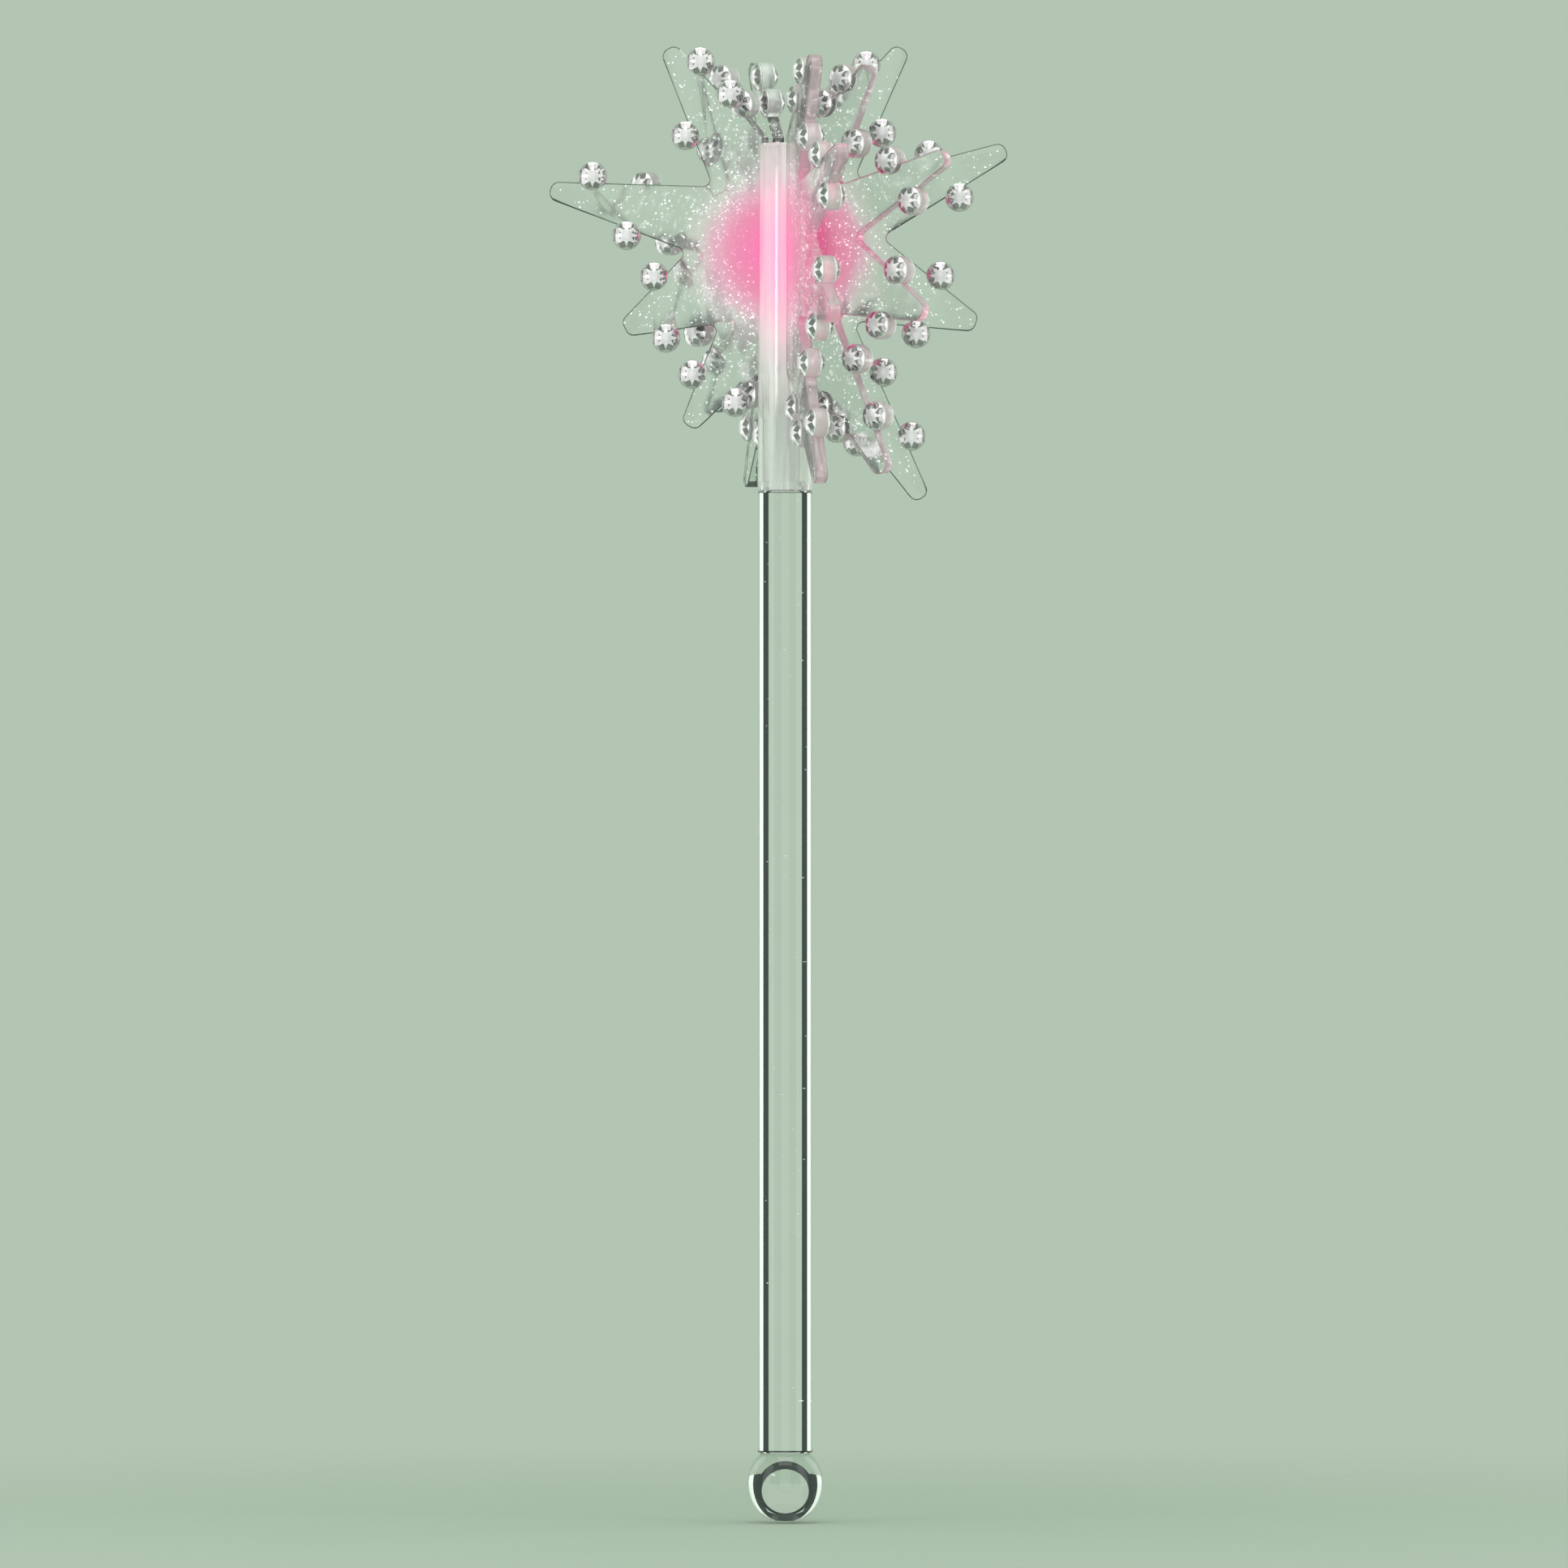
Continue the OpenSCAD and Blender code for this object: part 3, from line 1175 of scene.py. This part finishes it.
@dataclass
class Stones:
    """The faceted stones on one face of a fin."""

    bench: Bench
    sizes: Sizes
    fin: Fin
    face: Face
    height: float = 1.65
    waist: float = 0.6
    table_lean: float = 0.98
    foil_lean: float = 0.1

    def build(self) -> None:
        """Build and dress the stones."""
        node = self.face.stones(self.fin)
        # Painted light and shade by facet: stars painted bright, kites dark, the table and girdle
        # between.
        finishes = [
            SilverFacet("stone_table", (0.84, 0.77, 0.84), (0.76, 0.7, 0.76), metal=0.5, rough=0.45),
            SilverFacet("stone_star", (0.98, 0.93, 0.98), (0.92, 0.87, 0.92), metal=0.6, rough=0.35),
            SilverFacet("stone_kite", (0.5, 0.46, 0.49), (0.35, 0.32, 0.34), rough=0.08),
            SilverFacet("stone_girdle", (0.85, 0.81, 0.84), (0.7, 0.66, 0.69), rough=0.14),
            SilverFacet("stone_foil", (0.95, 0.9, 0.94), (0.86, 0.81, 0.85), metal=0.35, rough=0.4),
        ]
        name = node.replace("stones", "gems")
        self.bench.piece(name, self.cut(node), finishes, "silver_stone", [node])

    def cut(self, node: str) -> BMesh:
        """Copy the stones and sort their facets.

        Args:
            node: Name of the stones' CAD node.

        Returns:
            The stones, with each kind of facet in its own material slot.
        """
        bm = self.bench.copied(node)
        normal = self.fin.clockwise * self.face.value
        middle = (self.sizes.fin_t / 2.0 + self.height * self.waist) * MM
        for facet in bm.faces:
            facet.smooth = False
            lean = facet.normal.dot(normal)
            high = sum(v.co.dot(normal) > middle for v in facet.verts)
            if lean > self.table_lean:
                facet.material_index = StoneSlot.TABLE
            elif lean < self.foil_lean:
                facet.material_index = StoneSlot.FOIL
            else:
                facet.material_index = (StoneSlot.GIRDLE, StoneSlot.KITE, StoneSlot.STAR)[high]
        return bm


@dataclass
class Wand:
    """The whole wand, built from its handle up to its stones."""

    bench: Bench = field(default_factory=Bench)
    sizes: Sizes = Sizes()
    # Fins facing the camera, whose walls get pink light painted into their colour.
    rosy: frozenset[Fin] = frozenset({Fin.FRONT, Fin.FRONT_RIGHT})
    sparse: dict[Fin, int] = field(default_factory=lambda: {Fin.FRONT: 420, Fin.BACK: 520})

    def build(self) -> None:
        """Build every sub-assembly in order."""
        Handle(self.bench, self.sizes).build()
        Hub(self.bench, self.sizes).build()
        for fin in Fin:
            plate = GlitterFin(self.bench, self.sizes, fin, *self.skins(fin))
            plate.flakes = self.sparse.get(fin, plate.flakes)
            plate.build()
            for face in Face:
                Stones(self.bench, self.sizes, fin, face).build()

    def skins(self, fin: Fin) -> tuple[FinWall, FinWall, FinWall]:
        """Choose a fin's finishes: pink light painted on walls that face the camera, clear elsewhere.

        Args:
            fin: The fin to dress.

        Returns:
            The finishes of its wall, rim and pads.
        """
        centre = self.sizes.head_z * MM
        # Copies of the wall finishes with pink light painted in.
        if fin in self.rosy:
            return (
                FinWall("rosy_wall", centre),
                FinWall("rosy_rim", centre, (0.84, 0.6, 0.69), (0.9, 0.26, 0.5), clear=0.7),
                FinWall("rosy_pad", centre, (0.97, 0.83, 0.87), (1.0, 0.58, 0.74), clear=0.5, rough=0.2),
            )
        return (
            FinWall("clear_wall", centre, (0.82, 0.88, 0.84), (0.95, 0.7, 0.8), clear=0.96, rough=0.05),
            # The rims' near-black tint is a painted dark line along the fin's edges, pink near the
            # heart.
            FinWall("clear_rim", centre, (0.09, 0.14, 0.1), (0.4, 0.2, 0.28), clear=0.98, rough=0.04),
            FinWall("clear_pad", centre, (0.94, 0.93, 0.93), (0.98, 0.84, 0.89), clear=0.5, rough=0.2),
        )


def stand_card(name: str, bm: BMesh, finish: Finish) -> bpy.types.Object:
    """Make a card for the stage that is seen through clear pieces only.

    Args:
        name: Name of the card.
        bm: Its shape, which is freed here.
        finish: What it is made of.

    Returns:
        The new object.
    """
    made = stand(name, bm, [finish])
    made.visible_camera = False
    made.visible_shadow = False
    made.visible_diffuse = False
    made.visible_glossy = False
    return made


def soft_light(name: str, width: float, height: float, glow: float) -> bpy.types.Object:
    """Make an area light that the camera doesn't see.

    Args:
        name: Name of the light.
        width: Its width in metres.
        height: Its height in metres.
        glow: How bright its face is.

    Returns:
        The new light, not yet aimed.
    """
    lamp = bpy.data.lights.new(name, "AREA")
    lamp.shape = "RECTANGLE"
    lamp.size, lamp.size_y = width, height
    lamp.energy = glow * math.pi * width * height
    made = bpy.data.objects.new(name, lamp)
    made.visible_camera = False
    bpy.context.scene.collection.objects.link(made)
    return made


@dataclass
class Panel:
    """A flat light or card that stands upright round the wand, with its sizes in metres.

    Its two bearings are in degrees from straight behind the wand, and the camera doesn't see it.
    """

    name: str
    start: float
    end: float
    away: float
    height: float
    centre_z: float

    @property
    def edges(self) -> tuple[Vector, Vector]:
        """The middles of the panel's two upright edges."""
        return self.corner(self.start), self.corner(self.end)

    def light(self, glow: float) -> None:
        """Set up the panel as an area light that clear pieces don't show.

        Args:
            glow: How bright its face is.
        """
        first, last = self.edges
        made = soft_light(self.name, (last - first).length, self.height, glow)
        made.visible_transmission = False
        self.aim(made)

    def card(self, finish: Finish) -> None:
        """Set up the panel as a card.

        Args:
            finish: What it is made of.
        """
        first, last = self.edges
        bm = bmesh.new()
        size = Matrix.Diagonal(((last - first).length, self.height, 1.0, 1.0))
        bmesh.ops.create_grid(bm, x_segments=1, y_segments=1, size=0.5, matrix=size)
        self.aim(stand_card(self.name, bm, finish))

    def corner(self, bearing: float) -> Vector:
        """Return a point at a bearing from straight behind the wand."""
        turn = math.radians(bearing)
        return Vector((math.sin(turn), math.cos(turn), 0.0)) * self.away + UP * self.centre_z

    def aim(self, made: bpy.types.Object) -> None:
        """Stand an object between the panel's edges and face it to the wand.

        Args:
            made: The light or card.
        """
        first, last = self.edges
        spot = (first + last) / 2.0
        made.location = spot
        level = Vector((spot.x, spot.y, 0.0))
        made.rotation_euler = level.to_track_quat("Z", "Y").to_euler()


@dataclass
class Studio:
    """The pale floor, the soft light and the camera.

    The camera's place, the floor's height and the washers are in millimetres, like the wand.
    The panels, the lamp and the floor's radius are in metres, and bearings are in degrees.
    """

    image_px: int = 1932
    px_per_mm: float = 5.348
    centre: Span = (-0.28, 154.07)
    away: float = 4000.0
    sensor: float = 36.0
    near_clip: float = 0.01
    air: Colour = (0.45, 0.56, 0.45)
    floor_z: float = -16.15
    floor_r: float = 1.2
    ring_away: float = 0.62
    panel_bearings: Span = (41.0, 72.0)
    wing_bearings: Span = (108.0, 133.0)
    front_bearings: Span = (-196.0, -164.0)
    strip_bearings: Span = (-135.0, -147.0)
    high_bearing: float = 41.0
    band_away: float = 0.046
    band_height: float = 0.239
    band_z: float = 0.1035
    band_bearings: Triple = (21.7, 34.7, 50.0)
    washer_away: float = 19.3
    washer_z: float = -5.7
    washer_r: Span = (3.8, 5.5)
    lamp_spot: Triple = (0.0, -0.25, 0.95)
    lamp_aim_z: float = 0.22
    lamp_width: float = 0.6
    bounces: int = 32
    clear_bounces: int = 16
    clamp: float = 4.0

    def build(self) -> None:
        """Set up the stage round the finished wand."""
        self.camera()
        self.world()
        self.floor()
        self.lights()
        self.cards()
        scene = bpy.context.scene
        scene.view_settings.view_transform = "Standard"
        scene.cycles.max_bounces = self.bounces
        scene.cycles.transmission_bounces = self.bounces
        scene.cycles.transparent_max_bounces = self.clear_bounces
        scene.cycles.sample_clamp_indirect = self.clamp

    def camera(self) -> None:
        """Stand the camera level in front of the wand, at the photograph's angle."""
        lens = bpy.data.cameras.new("camera")
        lens.sensor_width = self.sensor
        lens.lens = self.sensor * self.away * self.px_per_mm / self.image_px
        lens.clip_start = self.near_clip
        camera = bpy.data.objects.new("camera", lens)
        camera.location = Vector((self.centre[0], -self.away, self.centre[1])) * MM
        camera.rotation_euler = (QUARTER_TURN, 0.0, 0.0)
        bpy.context.scene.collection.objects.link(camera)
        bpy.context.scene.camera = camera

    def world(self) -> None:
        """Fill the space round the wand with one pale colour."""
        world = bpy.data.worlds.new("studio")
        world.use_nodes = True
        sky = next(n for n in world.node_tree.nodes if n.type == "BACKGROUND")
        sky.inputs["Color"].default_value = (*self.air, 1.0)
        bpy.context.scene.world = world

    def floor(self) -> None:
        """Lay the pale floor under the ball."""
        bm = bmesh.new()
        bmesh.ops.create_circle(bm, cap_ends=True, segments=96, radius=self.floor_r)
        bmesh.ops.translate(bm, verts=bm.verts, vec=(0.0, 0.0, self.floor_z * MM))
        floor = stand("floor", bm, [PaleFloor("pale_floor")])

    def lights(self) -> None:
        """Stand soft panels round the wand, and hang one soft light above."""
        ring = self.ring_away
        for side, name in SIDES:
            start, end = (side * bearing for bearing in self.panel_bearings)
            Panel(f"panel_{name}", start, end, ring, height=0.8, centre_z=0.2).light(glow=1.1)
            start, end = (side * bearing for bearing in self.wing_bearings)
            Panel(f"wing_{name}", start, end, ring, height=0.9, centre_z=0.3).light(glow=1.3)
        Panel("front", *self.front_bearings, away=1.3, height=1.9, centre_z=0.3).light(glow=0.9)
        Panel("strip", *self.strip_bearings, away=0.6, height=0.06, centre_z=0.292).light(glow=9.0)
        top = soft_light("top", self.lamp_width, self.lamp_width, glow=1.6)
        top.location = self.lamp_spot
        aim = Vector(self.lamp_spot) - UP * self.lamp_aim_z
        top.rotation_euler = aim.to_track_quat("Z", "Y").to_euler()

    def cards(self) -> None:
        """Stand the cards that give the clear pieces their dark bands and light edges."""
        slate = StageCard("dark_card", (0.028, 0.036, 0.036), glow=0.6)
        white = StageCard("light_card", (0.9, 0.93, 0.9), glow=0.45)
        spot = (self.band_away, self.band_height, self.band_z)
        for side, name in SIDES:
            for part, turn in (("near", 0.0), ("far", 180.0)):
                inner, middle, outer = (turn + side * bearing for bearing in self.band_bearings)
                Panel(f"{part}_dark_{name}", inner, middle, *spot).card(slate)
                Panel(f"{part}_light_{name}", middle, outer, *spot).card(white)
        for name, turn in (("high_card", 0.0), ("far_high_card", 180.0)):
            start, end = turn - self.high_bearing, turn + self.high_bearing
            Panel(name, start, end, self.ring_away, height=0.7, centre_z=0.715).card(slate)
        for side, name in ((-1.0, "front"), (1.0, "back")):
            self.washer(f"ball_card_{name}", side, slate)

    def washer(self, name: str, side: float, finish: Finish) -> None:
        """Stand a dark ring beside the ball, which the clear ball shows as its dark edge.

        Args:
            name: Name of the ring.
            side: 1 for behind the ball and -1 for in front of it.
            finish: What it is made of.
        """
        bm = bmesh.new()
        spot = Matrix.Translation(Vector((0.0, side * self.washer_away, self.washer_z)) * MM)
        bmesh.ops.create_cone(
            bm,
            cap_ends=False,
            segments=64,
            radius1=self.washer_r[1] * MM,
            radius2=self.washer_r[0] * MM,
            depth=0.0,
            matrix=spot @ Matrix.Rotation(QUARTER_TURN, 4, "X"),
        )
        stand_card(name, bm, finish)


def main() -> None:
    """Build the wand and its studio."""
    logging.basicConfig(level=logging.INFO, format="%(name)s: %(message)s")
    Wand().build()
    Studio().build()


if __name__ == "__main__":
    main()
